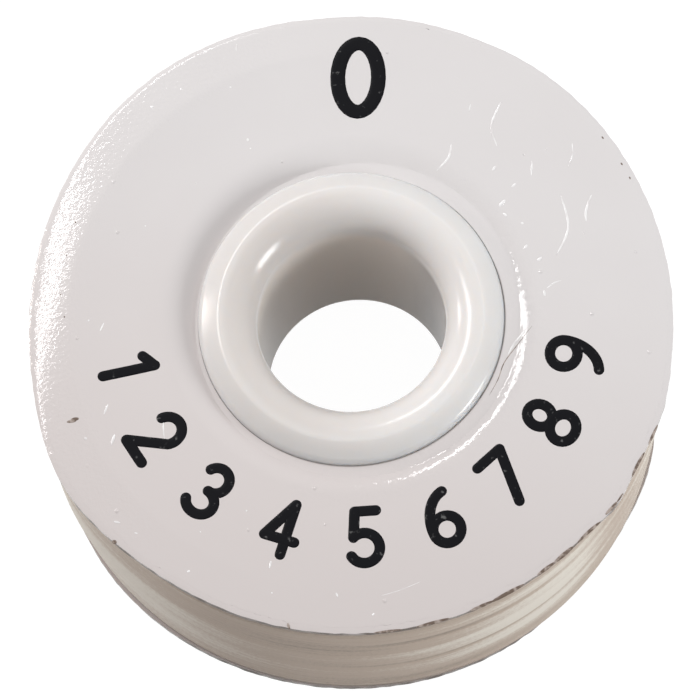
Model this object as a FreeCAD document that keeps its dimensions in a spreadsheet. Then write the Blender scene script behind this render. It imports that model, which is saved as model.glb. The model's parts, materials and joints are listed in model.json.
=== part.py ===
import FreeCAD, Part
import math
import os
import Sketcher

# A factory-wound sewing machine bobbin: a moulded core with a rolled lip at each end, thread
# wound on it, and a thin dished disc on each side of the thread, held down by the lips.
# Millimetres. The axis is Z, and the bobbin stands with the crown of its lower lip at z = 0.
# Each piece is drawn about its own middle plane, and is placed half a core length up.

SIZES = {
    # Core: a lip rolls out of the bore to its crown, which is the core's end, and slopes down
    # to its edge. Its height is from the crown to the seat under it.
    "core_length": 9.0,
    "bore_diameter": 6.0,
    "tube_wall": 1.2,
    "lip_overhang": 0.65,
    "lip_height": 0.8,
    "lip_edge": 0.4,
    "lip_curve": 1.0,
    "lip_land": 0.2,
    # Side discs: the hub lies under the lip, the dish rises from it to the flat, and the rim
    # curls back towards the thread.
    "disc_diameter": 20.5,
    "disc_thickness": 0.25,
    "dish_margin": 0.1,
    "dish_width": 0.9,
    "dish_depth": 0.4,
    "curl_width": 1.2,
    "curl_drop": 0.12,
    # Thread winding: the discs stand over it at the rim, and its outer turns lie in bands.
    "rim_overhang": 0.08,
    "band_width": 0.85,
    "band_depth": 0.06,
    # Fits: the disc's hole round the tube, and between faces that lie on each other.
    "hub_gap": 0.05,
    "seat_gap": 0.02,
}

# Radii of the core, and heights above the middle plane.
BORE = "(Sizes.bore_diameter / 2)"
TUBE = f"({BORE} + Sizes.tube_wall)"
LIP = f"({TUBE} + Sizes.lip_overhang)"
CROWN = "(Sizes.core_length / 2)"
SEAT = f"({CROWN} - Sizes.lip_height)"

# The disc's outer face. A face under it leans on the same slopes, so its corners shift.
DISC_HOLE = f"({TUBE} + Sizes.hub_gap)"
DISC_RIM = "(Sizes.disc_diameter / 2)"
HUB_FACE = f"({SEAT} - Sizes.seat_gap)"
FLAT_FACE = f"({HUB_FACE} + Sizes.dish_depth)"
DISH_START = f"({LIP} + Sizes.dish_margin)"
DISH_END = f"({DISH_START} + Sizes.dish_width)"
DISH_SHIFT = "((sqrt(Sizes.dish_width ^ 2 + Sizes.dish_depth ^ 2) - Sizes.dish_width) / Sizes.dish_depth)"
CURL_START = f"({DISC_RIM} - Sizes.curl_width)"
CURL_SLOPE = "(Sizes.curl_drop / Sizes.curl_width)"
CURL_SHIFT = "((sqrt(Sizes.curl_width ^ 2 + Sizes.curl_drop ^ 2) - Sizes.curl_width) / Sizes.curl_drop)"

# The bands of turns fill the room between the discs' inner faces.
UNDER_DISC = "(Sizes.disc_thickness + Sizes.seat_gap)"
WINDING = f"({DISC_RIM} - Sizes.rim_overhang)"
WINDING_SIDE = f"({FLAT_FACE} - {UNDER_DISC})"
BAND_COUNT = f"floor(2 * {WINDING_SIDE} / Sizes.band_width)"
BAND_PITCH = f"(2 * {WINDING_SIDE} / {BAND_COUNT})"

ORIGIN = (-1, 1)
HORIZONTAL_AXIS = -1
ON_MIDDLE_PLANE = "0"
FULL_TURN = 360

doc = FreeCAD.newDocument("Bobbin")


def make_sheet():
    """The sheet that drives every size."""
    sheet = doc.addObject("Spreadsheet::Sheet", "Sizes")
    for row, (alias, number) in enumerate(SIZES.items(), start=1):
        sheet.set(f"A{row}", alias)
        sheet.set(f"B{row}", str(number))
        sheet.setAlias(f"B{row}", alias)
    doc.recompute()
    return sheet


def value(expression):
    """What an expression of the sheet's sizes comes to."""
    return float(sizes.evalExpression(expression))


def origin_feature(body, role):
    """One of a body's own axes or planes."""
    return next(item for item in body.Origin.OriginFeatures if item.Role == role)


def new_body(label):
    """A body with its middle plane half a core length above the surface it stands on."""
    body = doc.addObject("PartDesign::Body", label)
    body.Label = label
    body.setExpression("Placement.Base.z", CROWN)
    return body


def rolled_arc(start, end, radius):
    """The short arc from start to end that turns to the right."""
    chord = end - start
    rightward = FreeCAD.Vector(chord.y, -chord.x, 0).normalize()
    centre = start + chord * 0.5 + rightward * math.sqrt(radius ** 2 - (chord.Length / 2) ** 2)
    return Part.Arc(start, centre - rightward * radius, end)


def pin(sketch, direction, geometry, point, expression):
    """Ties one coordinate of a corner to the sheet."""
    constraint = Sketcher.Constraint(direction, *ORIGIN, geometry, point, value(expression))
    index = sketch.addConstraint(constraint)
    sketch.setExpression(f"Constraints[{index}]", expression)


def draw_section(body, name, corners):
    """A closed section through the corners, in a plane through the axis.

    A corner is its distance from the axis, its height and, where an arc leads to it, the
    arc's radius.
    """
    sketch = body.newObject("Sketcher::SketchObject", name)
    sketch.AttachmentSupport = [(origin_feature(body, "XZ_Plane"), "")]
    sketch.MapMode = "FlatFace"
    places = [FreeCAD.Vector(value(corner[0]), value(corner[1]), 0) for corner in corners]
    # A sketch numbers an edge's two points. Its arcs run to the left, so one that is drawn to
    # the right starts at its end.
    start_point, end_point = 1, 2
    edges = []
    for index, corner in enumerate(corners):
        start, end = places[index - 1], places[index]
        if len(corner) == 2:
            geometry = sketch.addGeometry(Part.LineSegment(start, end))
            edges.append((geometry, start_point, end_point))
            continue
        radius = corner[2]
        geometry = sketch.addGeometry(rolled_arc(start, end, value(radius)))
        edges.append((geometry, end_point, start_point))
        bend = sketch.addConstraint(Sketcher.Constraint("Radius", geometry, value(radius)))
        sketch.setExpression(f"Constraints[{bend}]", radius)
    for index, corner in enumerate(corners):
        geometry, _, last = edges[index]
        following, first, _ = edges[(index + 1) % len(edges)]
        sketch.addConstraint(Sketcher.Constraint("Coincident", geometry, last, following, first))
        pin(sketch, "DistanceX", geometry, last, corner[0])
        if corner[1] == ON_MIDDLE_PLANE:
            sketch.addConstraint(Sketcher.Constraint("PointOnObject", geometry, last, HORIZONTAL_AXIS))
        else:
            pin(sketch, "DistanceY", geometry, last, corner[1])
    doc.recompute()
    return sketch


def turn_about_axis(body, kind, name, sketch):
    """Revolves a section round the bobbin's axis, to add it or to cut it away."""
    feature = body.newObject(kind, name)
    feature.Profile = sketch
    feature.ReferenceAxis = (sketch, ["V_Axis"])
    feature.Angle = FULL_TURN
    body.Tip = feature
    doc.recompute()
    return feature


def mirror_halves(body, name, half):
    """The other half of a body that is drawn above its middle plane."""
    feature = body.newObject("PartDesign::Mirrored", name)
    feature.Originals = [half]
    feature.MirrorPlane = (origin_feature(body, "XY_Plane"), [""])
    body.Tip = feature
    doc.recompute()
    return feature


def dished_face(depth, inner, outer):
    """The corners of a disc's outer face, or of a face that lies the given depth under it."""
    hub = f"({HUB_FACE} - {depth})"
    flat = f"({FLAT_FACE} - {depth})"
    curl_fall = f"(({outer} - {CURL_START}) * {CURL_SLOPE} + {depth} * sqrt(1 + {CURL_SLOPE} ^ 2))"
    return [
        (inner, hub),
        (f"({DISH_START} + {depth} * {DISH_SHIFT})", hub),
        (f"({DISH_END} + {depth} * {DISH_SHIFT})", flat),
        (f"({CURL_START} - {depth} * {CURL_SHIFT})", flat),
        (outer, f"({FLAT_FACE} - {curl_fall})"),
    ]


def make_core():
    """The moulded tube, with its bore and a lip that rolls out of the bore at each end."""
    roll_end = f"({BORE} + Sizes.lip_curve)"
    body = new_body("core")
    section = draw_section(body, "CoreSection", [
        (BORE, ON_MIDDLE_PLANE),
        (BORE, f"({CROWN} - Sizes.lip_curve)"),
        (roll_end, CROWN, "Sizes.lip_curve"),
        (f"({roll_end} + Sizes.lip_land)", CROWN),
        (LIP, f"({SEAT} + Sizes.lip_edge)"),
        (LIP, SEAT),
        (TUBE, SEAT),
        (TUBE, ON_MIDDLE_PLANE),
    ])
    half = turn_about_axis(body, "PartDesign::Revolution", "CoreHalf", section)
    mirror_halves(body, "CoreHalves", half)
    return body


def make_winding():
    """The thread, wound on the tube between the discs, with the bands of its outer turns."""
    inner = f"({TUBE} + Sizes.seat_gap)"
    # The blank stands over the bands, so that each valley's flanks meet the next one's.
    blank = f"({WINDING} + Sizes.band_depth)"
    body = new_body("thread_winding")
    section = draw_section(body, "WindingSection", [
        *dished_face(UNDER_DISC, inner, blank),
        (blank, ON_MIDDLE_PLANE),
        (inner, ON_MIDDLE_PLANE),
    ])
    half = turn_about_axis(body, "PartDesign::Revolution", "WindingHalf", section)
    blank_feature = mirror_halves(body, "WindingBlank", half)

    # The first valley is half a band under the upper disc, and the rest follow downwards. Its
    # mouth is open past the blank, where it is three half bands wide on each side.
    root = f"({WINDING} - Sizes.band_depth)"
    mouth = f"({WINDING} + 2 * Sizes.band_depth)"
    first_valley = f"({WINDING_SIDE} - {BAND_PITCH} / 2)"
    half_mouth = f"(3 * {BAND_PITCH} / 2)"
    valley_section = draw_section(body, "ValleySection", [
        (root, first_valley),
        (mouth, f"({first_valley} - {half_mouth})"),
        (mouth, f"({first_valley} + {half_mouth})"),
    ])
    valley = turn_about_axis(body, "PartDesign::Groove", "Valley", valley_section)
    bands = body.newObject("PartDesign::LinearPattern", "Bands")
    bands.Originals = [valley]
    bands.Direction = (origin_feature(body, "Z_Axis"), [""])
    bands.Reversed = True
    bands.setExpression("Occurrences", BAND_COUNT)
    bands.setExpression("Length", f"2 * {WINDING_SIDE} - {BAND_PITCH}")
    body.Tip = bands
    doc.recompute()
    if not bands.Shape.Volume < valley.Shape.Volume < blank_feature.Shape.Volume:
        raise RuntimeError("the valleys between the bands cut nothing")
    return body


def make_upper_disc():
    """The thin side disc, dished down under the lip at its hub and curled at its rim."""
    body = new_body("upper_side_disc")
    inner_face = dished_face("Sizes.disc_thickness", DISC_HOLE, DISC_RIM)
    section = draw_section(body, "DiscSection", [
        *dished_face("0", DISC_HOLE, DISC_RIM),
        *reversed(inner_face),
    ])
    turn_about_axis(body, "PartDesign::Revolution", "Disc", section)
    return body


def make_lower_disc(upper_disc):
    """The same disc turned over, on the other side of the thread."""
    disc = doc.addObject("Part::Mirroring", "lower_side_disc")
    disc.Label = "lower_side_disc"
    disc.Source = upper_disc
    disc.Normal = FreeCAD.Vector(0, 0, 1)
    disc.setExpression("Base.z", CROWN)
    doc.recompute()
    return disc


def check_document(pieces):
    """Stops before anything is written if a feature failed or a piece isn't one sound solid."""
    for item in doc.Objects:
        if "Invalid" in item.State or "Error" in item.State:
            raise RuntimeError(f"{item.Name} failed: {item.State}")
    for piece in pieces:
        shape = piece.Shape
        if shape.isNull() or not shape.isValid() or len(shape.Solids) != 1:
            raise RuntimeError(f"{piece.Label} isn't one sound solid")


sizes = make_sheet()
core = make_core()
thread_winding = make_winding()
upper_side_disc = make_upper_disc()
lower_side_disc = make_lower_disc(upper_side_disc)
pieces = [core, thread_winding, upper_side_disc, lower_side_disc]
check_document(pieces)
os.makedirs("parts", exist_ok=True)
for piece in pieces:
    piece.Shape.exportStep(f"parts/{piece.Label}.step")
    print(piece.Label, round(piece.Shape.Volume, 3))
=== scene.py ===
import bmesh
import bpy
import json
import math
from mathutils import Matrix, Vector, noise


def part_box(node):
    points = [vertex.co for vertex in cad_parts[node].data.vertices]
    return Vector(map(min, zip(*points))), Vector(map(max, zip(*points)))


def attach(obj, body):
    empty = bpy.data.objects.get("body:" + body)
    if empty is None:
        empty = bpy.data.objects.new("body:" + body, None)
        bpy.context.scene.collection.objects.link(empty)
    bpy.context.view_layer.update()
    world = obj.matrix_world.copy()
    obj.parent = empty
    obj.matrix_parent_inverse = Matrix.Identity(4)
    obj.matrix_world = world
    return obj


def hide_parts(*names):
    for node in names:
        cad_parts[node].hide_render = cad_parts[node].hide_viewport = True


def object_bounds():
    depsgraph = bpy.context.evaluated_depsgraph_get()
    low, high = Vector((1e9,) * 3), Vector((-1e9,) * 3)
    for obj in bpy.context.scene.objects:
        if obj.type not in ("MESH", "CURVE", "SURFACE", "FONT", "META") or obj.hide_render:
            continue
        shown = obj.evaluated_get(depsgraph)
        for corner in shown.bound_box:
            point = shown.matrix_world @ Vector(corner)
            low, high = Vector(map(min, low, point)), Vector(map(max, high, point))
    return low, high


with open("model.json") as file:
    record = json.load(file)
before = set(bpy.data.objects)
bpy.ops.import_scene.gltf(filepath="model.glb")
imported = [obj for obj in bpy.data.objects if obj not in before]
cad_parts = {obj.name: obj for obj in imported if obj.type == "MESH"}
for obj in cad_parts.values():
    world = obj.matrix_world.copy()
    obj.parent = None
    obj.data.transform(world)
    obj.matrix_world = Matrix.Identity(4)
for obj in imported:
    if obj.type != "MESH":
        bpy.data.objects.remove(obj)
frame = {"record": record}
cad_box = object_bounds()

# The stage: a plain table, seen as white, under soft studio light. A long lamp behind the bobbin on
# the left gives the highlights, low soft boxes stand at the sides, and the room is dark in front.
MM = 0.001
scene = bpy.context.scene
scene.view_settings.view_transform = "Standard"


def deselect_everything():
    bpy.ops.object.select_all(action="DESELECT")


def add_soft_box(name, place, width, height, watts, colour):
    """A level lamp that faces the bobbin's middle."""
    facing = (Vector((0, 0, cad_box[1][2] / 2)) - Vector(place)).to_track_quat("-Z", "Y")
    bpy.ops.object.light_add(type="AREA", location=place, rotation=facing.to_euler())
    lamp = bpy.context.object
    lamp.name = name
    lamp.data.shape = "RECTANGLE"
    lamp.data.size = width
    lamp.data.size_y = height
    lamp.data.energy = watts
    lamp.data.color = colour
    lamp.visible_camera = False


def add_node(tree, kind, inputs=None, **settings):
    """A shader node with its settings, and with its inputs set to a value or wired to a socket."""
    node = tree.nodes.new(kind)
    for name, setting in settings.items():
        setattr(node, name, setting)
    for name, value in (inputs or {}).items():
        if isinstance(value, bpy.types.NodeSocket):
            tree.links.new(value, node.inputs[name])
        else:
            node.inputs[name].default_value = value
    return node


def work_out(tree, operation, *values):
    """The result of a Math node on sockets and numbers."""
    return add_node(tree, "ShaderNodeMath", dict(enumerate(values)), operation=operation).outputs[0]


def fade(tree, value, start, end, low=0.0, high=1.0):
    """A soft step from low to high, as the value goes from start to end."""
    inputs = {"Value": value, "From Min": start, "From Max": end, "To Min": low, "To Max": high}
    return add_node(tree, "ShaderNodeMapRange", inputs, interpolation_type="SMOOTHSTEP").outputs[0]


def blend_colours(tree, share, first, second):
    inputs = {"Factor": share, "A": first, "B": second}
    return add_node(tree, "ShaderNodeMix", inputs, data_type="RGBA").outputs["Result"]


add_soft_box("long_lamp", place=(-0.059, 0.0724, 0.132), width=0.12, height=0.022, watts=0.107,
             colour=(1.0, 0.99, 0.985))
add_soft_box("right_soft_box", place=(0.131, -0.0756, 0.052), width=0.05, height=0.05, watts=0.125,
             colour=(0.985, 1.0, 1.0))
add_soft_box("left_soft_box", place=(-0.173, 0.081, 0.062), width=0.04, height=0.02, watts=0.05,
             colour=(1.0, 0.9, 0.85))

window_direction = (-0.25, 0.5, 0.35)
room_dark = 0.19
room_bright = 0.74
world = bpy.data.worlds.new("studio")
scene.world = world
world.use_nodes = True
tree = world.node_tree
rays = add_node(tree, "ShaderNodeLightPath").outputs
plain_view = work_out(tree, "MAXIMUM", rays["Is Camera Ray"], rays["Is Transmission Ray"])
direction = add_node(tree, "ShaderNodeTexCoord").outputs["Generated"]
to_window = add_node(tree, "ShaderNodeVectorMath", {0: direction, 1: window_direction},
                     operation="DOT_PRODUCT").outputs["Value"]
room = fade(tree, to_window, -0.35, 0.6, room_dark, room_bright)
sky = add_node(tree, "ShaderNodeMapRange", {"Value": plain_view, "To Min": room, "To Max": 1.0})
tree.nodes["Background"].inputs["Color"].default_value = (1, 1, 1, 1)
tree.links.new(sky.outputs["Result"], tree.nodes["Background"].inputs["Strength"])

table_size = 1.2
table_bounce = (0.44, 0.405, 0.375, 1)
table_seen = (0.12, 0.12, 0.12, 1)
table_glow = 0.97
deselect_everything()
bpy.ops.mesh.primitive_plane_add(size=table_size, location=(0, 0, 0))
table = bpy.context.object
table.name = "table"
table_look = bpy.data.materials.new("white_table")
table_look.use_nodes = True
tree = table_look.node_tree
tree.nodes.remove(tree.nodes["Principled BSDF"])
rays = add_node(tree, "ShaderNodeLightPath").outputs
plain_view = work_out(tree, "MAXIMUM", rays["Is Camera Ray"], rays["Is Glossy Ray"])
plain_view = work_out(tree, "MAXIMUM", plain_view, rays["Is Transmission Ray"])
paper = blend_colours(tree, plain_view, table_bounce, table_seen)
matt = add_node(tree, "ShaderNodeBsdfDiffuse", {"Color": paper})
glow = work_out(tree, "MULTIPLY", plain_view, table_glow)
white = add_node(tree, "ShaderNodeEmission", {"Strength": glow})
both = add_node(tree, "ShaderNodeAddShader", {0: matt.outputs["BSDF"], 1: white.outputs["Emission"]})
tree.links.new(both.outputs["Shader"], tree.nodes["Material Output"].inputs["Surface"])
table.data.materials.append(table_look)

view_distance = 131.8 * MM
view_elevation = math.radians(72.88)
view_roll = math.radians(-6.85)
aim = Vector((-0.155, 0.145, 4.535)) * MM
eye = aim + view_distance * Vector((0, -math.cos(view_elevation), math.sin(view_elevation)))
turn = Matrix.Rotation(math.pi / 2 - view_elevation, 3, "X") @ Matrix.Rotation(view_roll, 3, "Z")
bpy.ops.object.camera_add(location=eye, rotation=turn.to_euler())
camera = bpy.context.object
camera.data.sensor_width = 36
camera.data.lens = 208.4
camera.data.clip_start = 10 * MM
camera.data.clip_end = 10
scene.camera = camera

# The core: a tube of glossy white plastic, moulded in one piece, whose ends roll out of the bore
# into soft lips. The lips hold the two side discs on the thread.
core_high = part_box("core")[1]
bore = next(mount for mount in frame["record"]["mounts"] if mount["kind"] == "bore")
bore_radius = bore["dims"]["r_mm"] * MM
core_length = core_high.z
lip_radius = core_high.x
tube_radius = 4.2 * MM
lip_height = 0.8 * MM
lip_edge = 0.4 * MM
lip_curve = 1.0 * MM
funnel_fullness = 0.48
crown_round = 0.06 * MM
shoulder_round = 0.2 * MM
seat_round = 0.05 * MM
hair = 1e-6


def add_section(name, inner, outer, low, high):
    """A flat rectangle in the plane of the axis, ready to be shaped and spun, in edit mode."""
    deselect_everything()
    bpy.ops.mesh.primitive_plane_add(size=1, rotation=(math.pi / 2, 0, 0))
    piece = bpy.context.object
    piece.name = name
    piece.scale = (outer - inner, high - low, 1)
    piece.location = ((inner + outer) / 2, 0, (low + high) / 2)
    bpy.ops.object.transform_apply(location=True, rotation=True, scale=True)
    bpy.ops.object.mode_set(mode="EDIT")
    return piece


def pick(test):
    """Selects the vertices whose place passes the test, and the edges and faces between them."""
    mesh = bmesh.from_edit_mesh(bpy.context.edit_object.data)
    bpy.ops.mesh.select_all(action="DESELECT")
    for vertex in mesh.verts:
        vertex.select_set(test(vertex.co))
    mesh.select_flush(True)
    bmesh.update_edit_mesh(bpy.context.edit_object.data)


def cut_across(place, normal):
    bpy.ops.mesh.select_all(action="SELECT")
    bpy.ops.mesh.bisect(plane_co=place, plane_no=normal)


def round_corners(test, size, steps, fullness=0.5):
    pick(test)
    bpy.ops.mesh.bevel(offset=size, offset_type="OFFSET", segments=steps, affect="VERTICES",
                       profile=fullness)


def spin_section(steps):
    """Spins the outline in edit mode into a closed body, and leaves edit mode."""
    bpy.ops.mesh.select_all(action="SELECT")
    bpy.ops.mesh.delete(type="ONLY_FACE")
    bpy.ops.mesh.select_all(action="SELECT")
    bpy.ops.mesh.spin(steps=steps, angle=2 * math.pi, center=(0, 0, 0), axis=(0, 0, 1))
    bpy.ops.mesh.select_all(action="SELECT")
    bpy.ops.mesh.remove_doubles(threshold=hair)
    bpy.ops.mesh.normals_make_consistent(inside=False)
    bpy.ops.object.mode_set(mode="OBJECT")
    bpy.ops.object.shade_smooth_by_angle(angle=math.radians(40))


core_moulding = add_section("core_moulding", bore_radius, tube_radius, 0, core_length)
for height in (lip_height, core_length - lip_height):
    cut_across((0, 0, height), (0, 0, 1))
for end, inward in ((0, 1), (core_length, -1)):
    pick(lambda co: co.x > tube_radius - hair and abs(co.z - end) < lip_height + hair)
    bpy.ops.mesh.extrude_region_move(
        TRANSFORM_OT_translate={"value": (lip_radius - tube_radius, 0, 0)})
    pick(lambda co: co.x > lip_radius - hair and abs(co.z - end) < hair)
    bpy.ops.transform.translate(value=(0, 0, inward * (lip_height - lip_edge)))
bpy.ops.mesh.select_all(action="SELECT")
bpy.ops.mesh.dissolve_faces()
pick(lambda co: co.x < bore_radius + hair and hair < co.z < core_length - hair)
bpy.ops.mesh.dissolve_verts()
round_corners(lambda co: co.x < bore_radius + hair, lip_curve, steps=20, fullness=funnel_fullness)
for end in (0, core_length):
    shoulder_depth = lip_height - lip_edge
    round_corners(lambda co: abs(co.z - end) < hair and co.x > tube_radius - hair, crown_round, steps=8)
    round_corners(lambda co: co.x > lip_radius - hair and abs(co.z - end) < shoulder_depth + hair,
                  shoulder_round, steps=10)
    round_corners(lambda co: co.x > lip_radius - hair and abs(abs(co.z - end) - lip_height) < hair,
                  seat_round, steps=4)
spin_section(steps=192)


def multiply(tree, first, *others):
    """The product of sockets and numbers."""
    product = first
    for other in others:
        product = work_out(tree, "MULTIPLY", product, other)
    return product


def place_on_piece(tree):
    """The place on a piece in millimetres, its three parts, and its distance from the axis."""
    metres = add_node(tree, "ShaderNodeTexCoord").outputs["Object"]
    inputs = {0: metres, "Scale": 1 / MM}
    place = add_node(tree, "ShaderNodeVectorMath", inputs, operation="SCALE").outputs[0]
    parts = add_node(tree, "ShaderNodeSeparateXYZ", {0: place}).outputs
    inputs = {0: place, 1: (1, 1, 0)}
    flat = add_node(tree, "ShaderNodeVectorMath", inputs, operation="MULTIPLY").outputs[0]
    reach = add_node(tree, "ShaderNodeVectorMath", {0: flat}, operation="LENGTH").outputs["Value"]
    return place, parts, reach


def cloudy(tree, place, scale, detail):
    """A soft random pattern from 0 to 1, with its scale in waves per millimetre."""
    inputs = {"Vector": place, "Scale": scale, "Detail": detail}
    return add_node(tree, "ShaderNodeTexNoise", inputs).outputs["Fac"]


pale_plastic = (0.775, 0.75, 0.735, 1)
palest_plastic = (0.805, 0.785, 0.775, 1)
shaded_funnel_plastic = (0.69, 0.655, 0.635, 1)
bore_left_shade = (0.65, 0.57, 0.485, 1)
bore_right_shade = (0.225, 0.175, 0.14, 1)
bore_back_light = (0.88, 0.81, 0.75, 1)
core_plastic = bpy.data.materials.new("core_white_plastic")
core_plastic.use_nodes = True
tree = core_plastic.node_tree
plastic = tree.nodes["Principled BSDF"]
plastic.inputs["Roughness"].default_value = 0.21
plastic.inputs["Subsurface Weight"].default_value = 1.0
plastic.inputs["Subsurface Radius"].default_value = (1.0, 0.9, 0.8)
plastic.inputs["Subsurface Scale"].default_value = 0.9 * MM
place, across, reach = place_on_piece(tree)
core_tint = blend_colours(tree, cloudy(tree, place, 0.7, 2.0), pale_plastic, palest_plastic)
# Painted shade: the core's left side, which faces away from the lamps, is darker, most of all in the
# funnel.
shaded_funnel_side = multiply(tree, fade(tree, reach, 4.15, 3.85, low=0.5), fade(tree, across[0], 2.0, -2.5))
core_tint = blend_colours(tree, shaded_funnel_side, core_tint, shaded_funnel_plastic)
# Painted light and shade in the bore: it is darker down the bore, darkest on its right and lighter than
# the plastic at its back, as light falls into it.
bore_painted_shade = multiply(tree, fade(tree, reach, 3.3, 3.02), fade(tree, across[2], 8.15, 7.35))
bore_side_shade = blend_colours(tree, fade(tree, across[0], 0.0, 2.4), bore_left_shade, bore_right_shade)
bore_light_and_shade = blend_colours(tree, fade(tree, across[1], 1.0, 2.9), bore_side_shade, bore_back_light)
core_colour = blend_colours(tree, bore_painted_shade, core_tint, bore_light_and_shade)
tree.links.new(core_colour, plastic.inputs["Base Color"])
tree.links.new(fade(tree, reach, 3.25, 3.02, 0.5, 0.06), plastic.inputs["Specular IOR Level"])
core_moulding.data.materials.append(core_plastic)
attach(core_moulding, "root")
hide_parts("core")

# The lower side disc: thin glossy white film, punched out as a ring, plain and unprinted. The lip
# pulls its hub into a shallow dish, and its rim curls a little towards the thread.
lower_low, lower_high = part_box("lower_side_disc")
disc_radius = lower_high.x
film_thickness = 0.25 * MM
film_hole_radius = 4.25 * MM
dish_start = 4.853 * MM
dish_end = 6.15 * MM
dish_depth = 0.4 * MM
dish_corner = 0.006 * MM
tuck_end = 4.862 * MM
edge_round = 0.2 * MM
rim_points = 540
curl_side = math.radians(155)
rim_roughness = 0.045 * MM
rim_grain = 0.3 * MM
lower_curl_start = 9.05 * MM
lower_curl_depth = 0.1 * MM
lower_edge_depth = 0.02 * MM
lower_shift = Vector((-0.175, -0.19)) * MM
lower_trim = 0.19 * MM
# Each flare of a rim: its middle and half width round the axis, in degrees, and how far it stands out.
lower_flares = [(-145, 22, 0.12 * MM), (-48, 12, -0.1 * MM), (-22, 9, 0.09 * MM)]
# Each zone of a disc's rings: its outermost ring, the rings' spacing and their number.
ring_zones = [
    (disc_radius, 0.02 * MM, 11),
    (disc_radius - 0.24 * MM, 0.08 * MM, 22),
    (8.2 * MM, 0.3 * MM, 7),
    (6.1 * MM, 0.05 * MM, 25),
    (4.875 * MM, 0, 1),
]


def share_between(value, start, end):
    return min(max((value - start) / (end - start), 0), 1)


def soft_lesser(first, second, blend):
    """The lesser of two values, without a corner where they cross."""
    near = max(blend - abs(first - second), 0) / blend
    return min(first, second) - near * near * blend / 4


def film_drop(reach, pressed, dish_edge, curl_start, curl_depth, edge_depth):
    """How far a disc's outer face lies behind its flat: it is dished at the hub, as deep as it is
    pressed, tucked under the lip, curled at the rim and rounded at the cut edge."""
    bend = dish_depth * share_between(reach, dish_edge, dish_start) ** 2
    dish = soft_lesser(bend, pressed, dish_corner)
    dish += (dish_depth - dish) * share_between(reach, tuck_end, dish_start)
    curl = share_between(reach, curl_start, disc_radius)
    edge = share_between(reach, disc_radius - edge_round, disc_radius)
    return dish + curl_depth * curl ** 2 + edge_depth * edge ** 2


def lower_film_drop(reach, angle):
    return film_drop(reach, dish_depth, dish_end, lower_curl_start, lower_curl_depth, lower_edge_depth)


def add_film_disc(name, flat_height, outward, drop):
    """A ring of film that is extruded ring by ring from its rim to its hole, bent and extruded
    to its thickness, with a ragged cut edge."""
    rings = [start - step * spacing for start, spacing, count in ring_zones for step in range(count)]
    rings += [tuck_end, dish_start, film_hole_radius]
    deselect_everything()
    bpy.ops.mesh.primitive_circle_add(vertices=rim_points, radius=disc_radius,
                                      location=(0, 0, flat_height))
    disc = bpy.context.object
    disc.name = name
    bpy.ops.object.transform_apply(location=True, rotation=True, scale=True)
    bpy.ops.object.mode_set(mode="EDIT")
    bpy.ops.mesh.select_all(action="SELECT")
    for outer, inner in zip(rings, rings[1:]):
        bpy.ops.mesh.extrude_region_move(TRANSFORM_OT_translate={"value": (0, 0, 0)})
        bpy.ops.transform.resize(value=(inner / outer, inner / outer, 1))
    bpy.ops.mesh.select_all(action="SELECT")
    bpy.ops.mesh.normals_make_consistent(inside=False)
    bpy.ops.object.mode_set(mode="OBJECT")
    if sum(face.normal.z for face in disc.data.polygons) * outward < 0:
        disc.data.flip_normals()
    for vertex in disc.data.vertices:
        reach = math.hypot(vertex.co.x, vertex.co.y)
        vertex.co.z -= outward * drop(reach, math.atan2(vertex.co.y, vertex.co.x))
    bpy.ops.object.mode_set(mode="EDIT")
    bpy.ops.mesh.select_all(action="SELECT")
    bpy.ops.mesh.extrude_region_move(TRANSFORM_OT_translate={"value": (0, 0, -outward * film_thickness)})
    bpy.ops.mesh.select_all(action="SELECT")
    bpy.ops.mesh.normals_make_consistent(inside=False)
    bpy.ops.object.mode_set(mode="OBJECT")
    for vertex in disc.data.vertices:
        reach = vertex.co.xy.length
        if reach > disc_radius - edge_round:
            ragged = 0.5 + 0.5 * noise.noise(vertex.co / rim_grain)
            vertex.co.xy *= 1 - rim_roughness * ragged / reach
    bpy.ops.object.shade_smooth_by_angle(angle=math.radians(15))
    return disc


def swell(angle, middle, half_width):
    """A soft hump round the axis, 1 at its middle, with its angles in degrees."""
    aside = math.remainder(math.degrees(angle) - middle, 360) / half_width
    return math.exp(-aside * aside)


def settle_film(piece, trim, shift, flares):
    """Makes a disc, or what lies on it, a little smaller, moves its rim aside and lets it flare,
    while its hub stays."""
    for vertex in piece.data.vertices:
        outer_share = share_between(vertex.co.xy.length, dish_end, disc_radius)
        angle = math.atan2(vertex.co.y, vertex.co.x)
        flare = sum(height * swell(angle, middle, half_width) for middle, half_width, height in flares)
        vertex.co.xy *= 1 + (flare * outer_share - trim) * outer_share / disc_radius
        vertex.co.xy += shift * outer_share


film_white = (0.715, 0.687, 0.687, 1)
film_whitest = (0.745, 0.72, 0.72, 1)
film_front_shade = (0.665, 0.612, 0.602, 1)
# Brown for grime and for painted shade on the film.
soil_and_shade_brown = (0.13, 0.095, 0.075, 1)
film_roughness = 0.1
rim_rougher = 0.03
pimples_per_mm = 1.3
least_pimple = 0.05
pimple_spread = 0.07
bare_share = 0.67
less_bare_on_curl = 0.14
pimple_height = 0.024
crinkle_height = 0.013
grain_height = 0.011
ripple_height = 0.012
film = bpy.data.materials.new("glossy_white_film")
film.use_nodes = True
tree = film.node_tree
gloss = tree.nodes["Principled BSDF"]
place, across, reach = place_on_piece(tree)
round_angle = work_out(tree, "ARCTAN2", across[1], across[0])
lean = work_out(tree, "COSINE", work_out(tree, "SUBTRACT", round_angle, curl_side))

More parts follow.
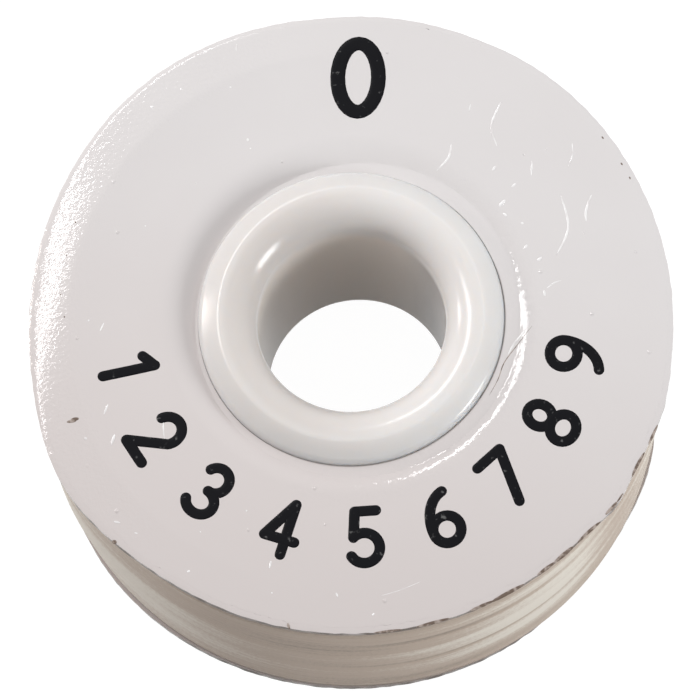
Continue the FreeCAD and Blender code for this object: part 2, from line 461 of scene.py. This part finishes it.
inputs = {"Vector": place, "Scale": pimples_per_mm}
pimple_cells = add_node(tree, "ShaderNodeTexVoronoi", inputs).outputs
pimple_draw = add_node(tree, "ShaderNodeSeparateColor", {0: pimple_cells["Color"]}).outputs
pimple_size = work_out(tree, "MULTIPLY_ADD", pimple_draw[1], pimple_spread, least_pimple)
pimple_rise = fade(tree, pimple_cells["Distance"], pimple_size, 0.0)
pimple_rare = work_out(tree, "MULTIPLY_ADD", lean, -less_bare_on_curl, bare_share)
pimple_few = work_out(tree, "GREATER_THAN", pimple_draw[0], pimple_rare)
pimples = multiply(tree, pimple_rise, pimple_few, pimple_height)
rim_zone = multiply(tree, fade(tree, reach, 8.5, 9.0), fade(tree, lean, 0.2, 0.8))
dish_zone = multiply(tree, fade(tree, reach, 6.3, 5.8), fade(tree, lean, 0.3, -0.4))
crinkles = multiply(tree, dish_zone, crinkle_height, cloudy(tree, place, 4.5, 2.0))
grains = multiply(tree, rim_zone, grain_height, cloudy(tree, place, 8.0, 2.0))
ripples = multiply(tree, ripple_height, cloudy(tree, place, 0.6, 3.0))
relief = pimples
for part in (crinkles, grains, ripples):
    relief = work_out(tree, "ADD", relief, part)
film_relief = add_node(tree, "ShaderNodeBump", {"Height": relief, "Distance": MM, "Strength": 1.0})
tree.links.new(film_relief.outputs["Normal"], gloss.inputs["Normal"])
roughness = work_out(tree, "MULTIPLY_ADD", rim_zone, rim_rougher, film_roughness)
tree.links.new(roughness, gloss.inputs["Roughness"])

unshaded_film_tint = blend_colours(tree, cloudy(tree, place, 0.35, 3.0), film_white, film_whitest)
# Painted shade: the film is darker towards the front and the left, where less light falls on it.
front_left_shade = work_out(tree, "MULTIPLY_ADD", across[0], 0.5, across[1])
film_tint = blend_colours(tree, fade(tree, front_left_shade, 7.0, -10.0), unshaded_film_tint, film_front_shade)
facing = add_node(tree, "ShaderNodeNewGeometry").outputs["True Normal"]
facing_up = work_out(tree, "ABSOLUTE", add_node(tree, "ShaderNodeSeparateXYZ", {0: facing}).outputs[2])
patches = fade(tree, cloudy(tree, place, 1.6, 4.0), 0.3, 0.55, low=0.5)
# Brown on the front of the discs' cut edges: grime, and painted shade in the gap between film and
# thread; on the lower disc, painted shade of its edge.
rim_soil_and_shade = multiply(tree, fade(tree, facing_up, 0.6, 0.3), patches,
                    fade(tree, across[2], 8.56, 8.46), fade(tree, across[1], 2.0, -4.0))
# Brown in the groove beside the lip, on its front and right: grime, and painted shade under the lip.
groove_soil_and_shade = multiply(tree, fade(tree, reach, 4.9, 4.88), fade(tree, lean, 0.4, -0.2, high=0.45),
                       fade(tree, across[1], 1.6, 0.6), fade(tree, across[0], -3.5, 1.0, low=0.3))
soil_and_shade_mask = work_out(tree, "MAXIMUM", rim_soil_and_shade, groove_soil_and_shade)
film_colour = blend_colours(tree, soil_and_shade_mask, film_tint, soil_and_shade_brown)
tree.links.new(film_colour, gloss.inputs["Base Color"])
tree.links.new(fade(tree, soil_and_shade_mask, 0.0, 0.4, 0.5, 0.03), gloss.inputs["Specular IOR Level"])

lower_disc = add_film_disc("lower_film_disc", lower_low.z, -1, lower_film_drop)
settle_film(lower_disc, lower_trim, lower_shift, lower_flares)
lower_disc.data.materials.append(film)
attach(lower_disc, "root")
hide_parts("lower_side_disc")

# The thread: satin off-white yarn, wound on the tube from disc to disc. Its outer turns lie side
# by side, in bands that stand a little higher or lower, and it leans to the left. The bands' pale
# and dark colours are partly the yarn's own tone and partly painted light and shade: pale on the
# sides the lamps light, dark in front, under the film's edge and at the bottom.
winding_low, winding_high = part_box("thread_winding")
upper_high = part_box("upper_side_disc")[1]
winding_radius = winding_high.x
winding_hole_radius = 4.22 * MM
hub_seat_radius = 5.1 * MM
seat_slope_end = 6.0 * MM
turn_count = 38
points_per_turn = 5
turn_height = 0.025 * MM
band_height = 0.07 * MM
lower_taper = 0.09 * MM
bulge = (-158, 14, 0.22 * MM)
film_lift = 0.3 * MM
lift_start = 6.3 * MM
lift_end = 8.9 * MM
front_droop = 0.3 * MM
droop_start = 6.5 * MM
least_press = 0.12 * MM
more_press = 0.23 * MM
front_dish_narrower = 0.35 * MM
least_curl = 0.01 * MM
more_curl = 0.27 * MM
curl_middle = 168
curl_half_width = 24
latest_curl_start = 9.6 * MM
curl_start_earlier = 1.2 * MM
back_edge_depth = 0.06 * MM
front_edge_shallower = 0.05 * MM
disc_clearance = 0.02 * MM
tone_grain = 1.2 * MM
tone_unevenness = 0.35
# Each band: its middle and half width round the axis, in degrees, its middle and half width in
# height, in millimetres, and how pale or, below zero, how dark it is.
# The bands paint light and shade as well as yarn tone: the pale ones on the lit sides, the dark ones in
# front, under the film's edge and at the bottom.
yarn_light_and_shade_bands = [
    (-54, 31, 4.20, 3.80, 0.9),
    (-60, 22, 7.00, 0.35, 0.4),
    (-46, 20, 5.90, 0.40, 0.3),
    (-60, 25, 4.60, 0.50, 0.45),
    (-60, 23, 2.80, 0.35, 0.45),
    (-72, 20, 6.20, 0.22, -1.1),
    (-70, 18, 3.60, 0.16, -1.1),
    (-74, 26, 1.60, 0.40, -0.8),
    (-88, 14, 4.70, 0.30, 0.35),
    (-28, 16, 5.00, 3.50, 0.2),
    (-40, 11, 5.00, 3.50, -0.8),
    (-98, 22, 4.20, 3.60, -0.33),
    (-124, 34, 6.40, 1.10, -0.25),
    (-150, 34, 3.40, 2.70, 1.0),
    (-105, 60, 7.75, 0.25, -0.8),
    (-120, 50, 0.85, 0.20, -0.9),
    (100, 75, 4.50, 8.00, 0.65),
]


def upper_film_drop(reach, angle):
    """The upper film is pressed and lifted most at the back left, where its rim curls, and it
    droops in front."""
    lean = 0.5 + 0.5 * math.cos(angle - curl_side)
    front = 0.5 - 0.5 * math.sin(angle)
    pressed = least_press + more_press * lean ** 2
    lift = film_lift * lean ** 3 * share_between(reach, lift_start, lift_end) ** 1.5
    droop = front_droop * front ** 2 * share_between(reach, droop_start, disc_radius) ** 1.5
    dish_edge = dish_end - front_dish_narrower * front
    curl_start = latest_curl_start - curl_start_earlier * lean
    curl_depth = least_curl + more_curl * swell(angle, curl_middle, curl_half_width)
    edge_depth = back_edge_depth - front_edge_shallower * front
    return film_drop(reach, pressed, dish_edge, curl_start, curl_depth, edge_depth) + droop - lift


def yarn_tone_and_painted_light(angle, height):
    """How pale the yarn is painted at a place on the winding's wall, from -1 to 1: its own uneven tone,
    with the painted light and shade of the bands.
    """
    tone = tone_unevenness * noise.noise(Vector((math.cos(angle), math.sin(angle), height / tone_grain)))
    for middle, half_width, level, half_height, pale in yarn_light_and_shade_bands:
        above = (height / MM - level) / half_height
        tone += pale * swell(angle, middle, half_width) * math.exp(-above * above)
    return min(max(tone, -1), 1)


thread_turns = add_section("thread_turns", winding_hole_radius, winding_radius,
                           winding_low.z, winding_high.z)
for cut in (hub_seat_radius, seat_slope_end):
    cut_across((cut, 0, 0), (1, 0, 0))
for face_height, inward in ((winding_low.z, 1), (winding_high.z, -1)):
    pick(lambda co: co.x < hub_seat_radius + hair and abs(co.z - face_height) < hair)
    bpy.ops.transform.translate(value=(0, 0, inward * dish_depth))
bpy.ops.mesh.select_all(action="SELECT")
bpy.ops.mesh.dissolve_faces()
pick(lambda co: co.x > winding_radius - hair)
bpy.ops.mesh.subdivide(number_cuts=turn_count * points_per_turn - 1)
spin_section(steps=288)

tones = thread_turns.data.attributes.new("yarn_tone_and_painted_light", "FLOAT", "POINT")
for vertex in thread_turns.data.vertices:
    reach = math.hypot(vertex.co.x, vertex.co.y)
    if reach < winding_radius - hair:
        continue
    angle = math.atan2(vertex.co.y, vertex.co.x)
    top = upper_high.z - upper_film_drop(reach, angle) - film_thickness - disc_clearance
    bottom = lower_low.z + lower_film_drop(reach, angle) + film_thickness + disc_clearance
    share = (vertex.co.z - winding_low.z) / (winding_high.z - winding_low.z)
    vertex.co.z = bottom + share * (top - bottom)
    turn_dip = turn_height * (1 - abs(math.sin(math.pi * turn_count * share)))
    tone = yarn_tone_and_painted_light(angle, vertex.co.z)
    dip = turn_dip + band_height * (0.5 - 0.5 * tone) + lower_taper * (1 - share)
    dip -= bulge[2] * swell(angle, *bulge[:2]) * math.sin(math.pi * share)
    vertex.co.xy *= 1 - dip / reach
    vertex.co.xy += lower_shift * (1 - share)
    tones.data[vertex.index].value = tone

# The dark and pale yarn colours also paint the bands' shade and light.
dark_yarn_and_shade = (0.32, 0.255, 0.205, 1)
beige_yarn = (0.57, 0.47, 0.39, 1)
pale_yarn_and_light = (0.88, 0.83, 0.75, 1)
streak_waves = (0.22, 0.22, 5.2)
streak_strength = 0.9
fuzz_strength = 0.7
thread_satin = bpy.data.materials.new("thread_satin")
thread_satin.use_nodes = True
tree = thread_satin.node_tree
yarn = tree.nodes["Principled BSDF"]
yarn.inputs["Roughness"].default_value = 0.45
yarn.inputs["Specular IOR Level"].default_value = 0.15
yarn.inputs["Sheen Weight"].default_value = 0.05
yarn.inputs["Sheen Roughness"].default_value = 0.4
place = place_on_piece(tree)[0]
streaks = add_node(tree, "ShaderNodeMapping", {"Vector": place, "Scale": streak_waves}).outputs["Vector"]
streak = work_out(tree, "SUBTRACT", cloudy(tree, streaks, 1.0, 3.0), 0.5)
fuzz = work_out(tree, "SUBTRACT", cloudy(tree, place, 9.0, 2.0), 0.5)
tone = add_node(tree, "ShaderNodeAttribute", attribute_name="yarn_tone_and_painted_light").outputs["Fac"]
tone = work_out(tree, "MULTIPLY_ADD", streak, streak_strength, tone)
tone = work_out(tree, "MULTIPLY_ADD", fuzz, fuzz_strength, tone)
yarn_tint = blend_colours(tree, fade(tree, tone, -1.0, 0.0), dark_yarn_and_shade, beige_yarn)
yarn_tint = blend_colours(tree, fade(tree, tone, 0.0, 1.0), yarn_tint, pale_yarn_and_light)
tree.links.new(yarn_tint, yarn.inputs["Base Color"])
thread_turns.data.materials.append(thread_satin)
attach(thread_turns, "root")
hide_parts("thread_winding")

# The upper side disc: the same film on top of the thread, held down by the upper lip. It lies a hair
# aside, and its rim is worn uneven, so that it stands out or in at some places.
upper_trim = 0.05 * MM
upper_shift = Vector((-0.025, 0)) * MM
upper_flares = [(-155, 15, 0.32 * MM), (-43, 5, 0.15 * MM), (-24, 8, 0.1 * MM), (40, 14, 0.06 * MM),
                (88, 9, -0.06 * MM), (122, 18, 0.1 * MM)]
upper_disc = add_film_disc("upper_film_disc", upper_high.z, 1, upper_film_drop)
settle_film(upper_disc, upper_trim, upper_shift, upper_flares)
upper_disc.data.materials.append(film)
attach(upper_disc, "root")
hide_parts("upper_side_disc")

# The print on the upper film: plain numbers in thick black ink, one at the back and nine round the
# front, their heads towards the hub. Each is drawn with a round pen.
ink_rise = 0.008 * MM
pen_share = 0.17
pen_tip = (1.0, 0.96, 0.85, 0.65, 0.35)
pen_step = 0.1 * MM
arc_steps = 28
layer_share = 0.05
number_width = 0.62
# Each number: its text, its place round the axis in degrees, its distance from the axis and its
# height in millimetres, and the turn that sets it upright.
back_number = ("0", 81.7, 8.06, 2.85, -90)
front_angles = (-173.4, -153.9, -134.4, -114.0, -93.0, -73.2, -54.3, -35.8, -17.5)
front_numbers = [(str(count + 1), angle, 7.2, 2.0, 90) for count, angle in enumerate(front_angles)]


def arc(middle_x, middle_y, width, height, start, end):
    """Points along part of an ellipse, in shares of a number's height."""
    angles = [math.radians(start + (end - start) * step / arc_steps) for step in range(arc_steps + 1)]
    return [(middle_x + width * math.cos(angle), middle_y + height * math.sin(angle))
            for angle in angles]


six = [arc(0.31, 0.31, 0.22, 0.22, 0, 360), arc(0.53, 0.33, 0.44, 0.58, 180, 98)]
pen_strokes = {
    "0": [arc(0.31, 0.5, 0.23, 0.415, 0, 360)],
    "1": [[(0.36, 0.085), (0.36, 0.915)], [(0.36, 0.915), (0.17, 0.76)]],
    "2": [arc(0.31, 0.675, 0.22, 0.24, 170, -25) + [(0.10, 0.085)], [(0.10, 0.085), (0.54, 0.085)]],
    "3": [arc(0.29, 0.705, 0.20, 0.21, 155, -90), arc(0.29, 0.29, 0.23, 0.205, 90, -155)],
    "4": [[(0.42, 0.085), (0.42, 0.915)], [(0.42, 0.915), (0.085, 0.33)], [(0.085, 0.33), (0.57, 0.33)]],
    "5": [[(0.50, 0.915), (0.17, 0.915)], [(0.17, 0.915), (0.13, 0.50)],
          arc(0.29, 0.325, 0.24, 0.24, 132, -150)],
    "6": six,
    "7": [[(0.085, 0.915), (0.55, 0.915)], [(0.55, 0.915), (0.22, 0.085)]],
    "8": [arc(0.31, 0.71, 0.18, 0.205, 0, 360), arc(0.31, 0.29, 0.225, 0.205, 0, 360)],
    "9": [[(number_width - x, 1 - y) for x, y in stroke] for stroke in six],
}


def line_to_mesh(name, half_width, points, widths, closed):
    """A round line through points in metres, as a mesh."""
    line = bpy.data.curves.new(name, "CURVE")
    line.dimensions = "3D"
    line.bevel_depth = half_width
    line.bevel_resolution = 3
    spline = line.splines.new("POLY")
    spline.points.add(len(points) - 1)
    for point, co, width in zip(spline.points, points, widths):
        point.co = (co[0], co[1], 0, 1)
        point.radius = width
    spline.use_cyclic_u = closed
    piece = bpy.data.objects.new(name, line)
    scene.collection.objects.link(piece)
    deselect_everything()
    piece.select_set(True)
    bpy.context.view_layer.objects.active = piece
    bpy.ops.object.convert(target="MESH")
    bpy.ops.object.mode_set(mode="EDIT")
    bpy.ops.mesh.select_all(action="SELECT")
    bpy.ops.mesh.remove_doubles(threshold=hair)
    bpy.ops.mesh.normals_make_consistent(inside=False)
    bpy.ops.object.mode_set(mode="OBJECT")
    bpy.ops.object.shade_smooth()
    return piece


def lay_on_film(piece, flatness, top):
    """Flattens a line and lays it on the upper film, half sunk in it and no higher than its top."""
    for vertex in piece.data.vertices:
        drop = upper_film_drop(vertex.co.xy.length, math.atan2(vertex.co.y, vertex.co.x))
        vertex.co.z = upper_high.z - drop + min(vertex.co.z * flatness, top)


def join_pieces(pieces, name):
    deselect_everything()
    for piece in pieces:
        piece.select_set(True)
    bpy.context.view_layer.objects.active = pieces[0]
    bpy.ops.object.join()
    pieces[0].name = name
    return pieces[0]


def fill_in(points, spacing):
    """The same line with points close enough for it to follow the film."""
    line = [points[0]]
    for start, end in zip(points, points[1:]):
        steps = max(1, math.ceil((end - start).length / spacing))
        line += [start.lerp(end, (step + 1) / steps) for step in range(steps)]
    return line


def add_pen_stroke(stroke, height, lay, top):
    """One stroke of a number, with round ends and a flat top."""
    pen = pen_share / 2 * height
    points = [lay @ (height * Vector((x - number_width / 2, y - 0.5, 0))) for x, y in stroke]
    points = fill_in(points, pen_step)
    closed = (points[0] - points[-1]).length < hair
    if closed:
        points.pop()
        widths = [1.0] * len(points)
    else:
        first_way = (points[0] - points[1]).normalized()
        last_way = (points[-1] - points[-2]).normalized()
        tip_widths = [math.sqrt(1 - share * share) for share in pen_tip]
        head = [points[0] + first_way * pen * share for share in pen_tip]
        tail = [points[-1] + last_way * pen * share for share in reversed(pen_tip)]
        widths = tip_widths + [1.0] * len(points) + tip_widths[::-1]
        points = head + points + tail
    piece = line_to_mesh("pen_stroke", pen, points, widths, closed)
    lay_on_film(piece, 2 * ink_rise / pen, top)
    return piece


ink_pieces = []
for text, angle, reach, height, upright in [back_number] + front_numbers:
    spot = Matrix.Rotation(math.radians(angle), 4, "Z") @ Matrix.Translation((reach * MM, 0, 0))
    lay = spot @ Matrix.Rotation(math.radians(upright), 4, "Z")
    for layer, stroke in enumerate(pen_strokes[text]):
        top = ink_rise * (1 + layer_share * layer)
        ink_pieces.append(add_pen_stroke(stroke, height * MM, lay, top))
print_numbers = join_pieces(ink_pieces, "print_numbers")
settle_film(print_numbers, upper_trim, upper_shift, upper_flares)
clean_ink = (0.006, 0.006, 0.008, 1)
dusty_ink = (0.12, 0.12, 0.12, 1)
ink = bpy.data.materials.new("black_ink")
ink.use_nodes = True
tree = ink.node_tree
ink_gloss = tree.nodes["Principled BSDF"]
ink_gloss.inputs["Roughness"].default_value = 0.25
ink_gloss.inputs["Specular IOR Level"].default_value = 0.12
dust = cloudy(tree, place_on_piece(tree)[0], 5.2, 2.0)
ink_tint = blend_colours(tree, fade(tree, dust, 0.64, 0.78), clean_ink, dusty_ink)
tree.links.new(ink_tint, ink_gloss.inputs["Base Color"])
print_numbers.data.materials.append(ink)
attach(print_numbers, "root")

# The creases and short marks in the upper film: fine raised lines where it was rubbed and folded.
# Their whiter colour is partly painted highlight, and the marks from (-4.5, 8.2) on are painted
# glints. Each is a thin rounded ridge that tapers out at both ends.
ridge_flatness = 0.2
ridge_taper = 0.6
steps_per_point = 8
# Each crease: its half width and its points, in millimetres. Each nick: its middle and its length, in
# millimetres, its direction in degrees and its half width.
crease_lines = [
    (0.035, [(5.65, 6.6), (5.2, 5.8), (5.3, 5.05)]),
    (0.035, [(3.85, 5.35), (3.7, 4.9), (3.25, 4.5)]),
    (0.04, [(7.1, 3.2), (7.2, 2.1), (6.7, 1.2)]),
    (0.04, [(8.1, 3.1), (7.85, 2.6), (7.8, 2.2)]),
    (0.025, [(7.7, 4.9), (7.65, 4.45), (7.45, 4.1)]),
    (0.03, [(6.35, 4.45), (6.3, 4.2), (6.25, 3.95)]),
    (0.02, [(6.75, 0.35), (6.5, 0.3), (6.25, 0.15)]),
    (0.02, [(-6.2, -2.55), (-6.25, -2.9), (-6.25, -3.35)]),
    (0.03, [(5.5, -1.0), (5.0, -1.5), (4.75, -1.85)]),
    (0.01, [(-0.1, -9.1), (0.5, -9.0), (1.2, -8.8)]),
]
nicks_and_glints = [
    (4.6, 6.5, 0.25, 70, 0.02),
    (5.1, 4.35, 0.2, 45, 0.045),
    (5.65, 3.7, 0.2, 40, 0.04),
    (5.2, 3.15, 0.3, 40, 0.055),
    (5.25, 2.75, 0.15, -55, 0.04),
    (5.75, 2.4, 0.1, -5, 0.04),
    (5.75, 1.6, 0.2, 50, 0.04),
    (6.15, 1.15, 0.2, 25, 0.05),
    (6.15, 0.0, 0.2, 90, 0.04),
    (-7.95, -2.1, 0.35, 65, 0.03),
    (-7.8, -3.1, 0.35, 70, 0.045),
    (-8.6, -2.95, 0.1, -40, 0.045),
    (-7.85, 0.6, 0.3, 60, 0.025),
    (-7.9, -5.7, 0.2, -25, 0.035),
    (-5.95, -7.6, 0.1, 25, 0.035),
    (-3.4, -7.7, 0.25, 70, 0.035),
    (-1.45, -8.9, 0.15, -70, 0.03),
    (-0.4, -9.65, 0.1, 35, 0.03),
    # Painted glints from here on: white specks that stand for highlights on pimples in the film.
    (-4.5, 8.2, 0.1, 60, 0.035),
    (-5.5, 7.7, 0.1, 35, 0.04),
    (-2.6, 6.3, 0.1, -75, 0.04),
    (-2.55, 6.0, 0.05, -45, 0.025),
    (-4.4, 5.05, 0.1, -75, 0.03),
    (-6.15, 3.8, 0.05, -45, 0.025),
    (-8.25, 0.85, 0.05, -70, 0.04),
    (-2.95, 8.1, 0.05, -45, 0.03),
    (-2.6, 9.45, 0.25, 80, 0.025),
    (-3.95, -5.9, 0.05, -45, 0.03),
    (-3.45, -8.6, 0.05, -45, 0.025),
    (-7.4, -6.15, 0.1, -25, 0.025),
    (-5.45, -6.4, 0.05, -55, 0.02),
]


def smooth_line(points, steps):
    """A line through the points in millimetres, without corners, as points in metres."""
    ends = [points[0]] + points + [points[-1]]
    line = []
    for before, start, end, after in zip(ends, ends[1:], ends[2:], ends[3:]):
        for step in range(steps):
            t = step / steps
            line.append([0.5 * MM * (2 * b + (c - a) * t + (2 * a - 5 * b + 4 * c - d) * t * t
                                     + (3 * b - a - 3 * c + d) * t ** 3)
                         for a, b, c, d in zip(before, start, end, after)])
    return line + [[MM * value for value in points[-1]]]


def add_ridge(half_width, points, flatness):
    """A tapered half-round line on the upper film."""
    line = smooth_line(points, steps_per_point)
    shares = [index / (len(line) - 1) for index in range(len(line))]
    widths = [max(math.sin(math.pi * share), 0) ** ridge_taper for share in shares]
    ridge = line_to_mesh("ridge", half_width * MM, line, widths, False)
    lay_on_film(ridge, flatness, half_width * MM)
    return ridge


def add_nick(x, y, length, direction, half_width, flatness):
    """A short straight mark on the upper film."""
    way = (math.cos(math.radians(direction)), math.sin(math.radians(direction)))
    ends = [(x + share * length * way[0], y + share * length * way[1]) for share in (-0.5, 0, 0.5)]
    return add_ridge(half_width, ends, flatness)


ridges = [add_ridge(*crease, ridge_flatness) for crease in crease_lines]
ridges += [add_nick(*nick, ridge_flatness) for nick in nicks_and_glints]
film_creases_and_glints = join_pieces(ridges, "film_creases_and_glints")
settle_film(film_creases_and_glints, upper_trim, upper_shift, upper_flares)
# The whiter colour paints highlights: in part on the creases, wholly on the glints.
rubbed_film = (0.76, 0.73, 0.73, 1)
painted_highlight_white = (0.92, 0.91, 0.91, 1)
crease_and_glint_look = bpy.data.materials.new("creases_and_painted_glints")
crease_and_glint_look.use_nodes = True
tree = crease_and_glint_look.node_tree
rubbed = tree.nodes["Principled BSDF"]
rubbed.inputs["Roughness"].default_value = 0.12
patchy = cloudy(tree, place_on_piece(tree)[0], 2.6, 2.0)
crease_and_highlight_tint = blend_colours(tree, fade(tree, patchy, 0.35, 0.6), rubbed_film, painted_highlight_white)
tree.links.new(crease_and_highlight_tint, rubbed.inputs["Base Color"])
film_creases_and_glints.data.materials.append(crease_and_glint_look)
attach(film_creases_and_glints, "root")

# The brown marks on the upper film: a line of painted shade in a fold beside the lip, and grime:
# a smudge on the left, a torn spot and specks and dashes along the rim. Each grime mark is a thin
# flat spot, given as a nick is, and the fold is given as a crease is.
# Painted shade: a thin brown line that stands for the shadow in a fold of the film beside the lip.
shaded_fold = (0.015, [(5.65, -1.0), (5.05, -1.6), (4.6, -2.1), (4.35, -2.6), (4.0, -3.1)])
soil_spots = [
    (-9.0, -2.35, 0.3, 0, 0.05),
    (-8.9, -2.3, 0.25, 0, 0.055),
    (-8.35, 4.15, 0.05, 35, 0.03),
    (-8.75, 3.1, 0.05, 50, 0.03),
    (-9.05, 1.8, 0.05, 45, 0.025),
    (-9.0, 1.05, 0.05, 55, 0.025),
    (8.7, 4.95, 0.1, -60, 0.025),
    (9.2, 4.0, 0.1, -65, 0.025),
    (9.4, 3.5, 0.1, -75, 0.025),
    (-8.05, -6.3, 0.15, -35, 0.06),
    (-3.05, -9.7, 0.2, -80, 0.04),
    (7.3, -7.1, 0.55, 45, 0.05),
    (7.6, -6.8, 0.35, 45, 0.025),
]
# Each dash along the rim: its place round the axis, in degrees, its length and its half width.
rim_dashes = [
    (-90, 0.9, 0.04),
    (-82, 1.1, 0.05),
    (-73, 0.8, 0.05),
    (-68, 1.2, 0.06),
    (-60, 0.7, 0.055),
    (-56, 0.8, 0.065),
    (-50, 1.0, 0.05),
    (-35, 0.9, 0.045),
    (-29, 0.7, 0.04),
]
dash_reach = 10.23
brown_mark_flatness = 0.2
brown_marks = [add_ridge(*shaded_fold, brown_mark_flatness)]
brown_marks += [add_nick(*spot, brown_mark_flatness) for spot in soil_spots]
for place_round, length, half_width in rim_dashes:
    side = math.radians(place_round)
    x, y = dash_reach * math.cos(side), dash_reach * math.sin(side)
    brown_marks.append(add_nick(x, y, length, place_round + 90, half_width, brown_mark_flatness))
film_soil_and_fold_shade = join_pieces(brown_marks, "film_soil_and_fold_shade")
settle_film(film_soil_and_fold_shade, upper_trim, upper_shift, upper_flares)
# Brown for grime, and for the painted shade of the fold.
dark_brown = (0.15, 0.105, 0.08, 1)
pale_brown = (0.42, 0.35, 0.31, 1)
brown_soil_and_fold_shade = bpy.data.materials.new("brown_soil_and_fold_shade")
brown_soil_and_fold_shade.use_nodes = True
tree = brown_soil_and_fold_shade.node_tree
brown_shader = tree.nodes["Principled BSDF"]
brown_shader.inputs["Roughness"].default_value = 0.6
uneven = cloudy(tree, place_on_piece(tree)[0], 6.0, 2.0)
brown_tint = blend_colours(tree, fade(tree, uneven, 0.4, 0.65), dark_brown, pale_brown)
tree.links.new(brown_tint, brown_shader.inputs["Base Color"])
film_soil_and_fold_shade.data.materials.append(brown_soil_and_fold_shade)
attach(film_soil_and_fold_shade, "root")
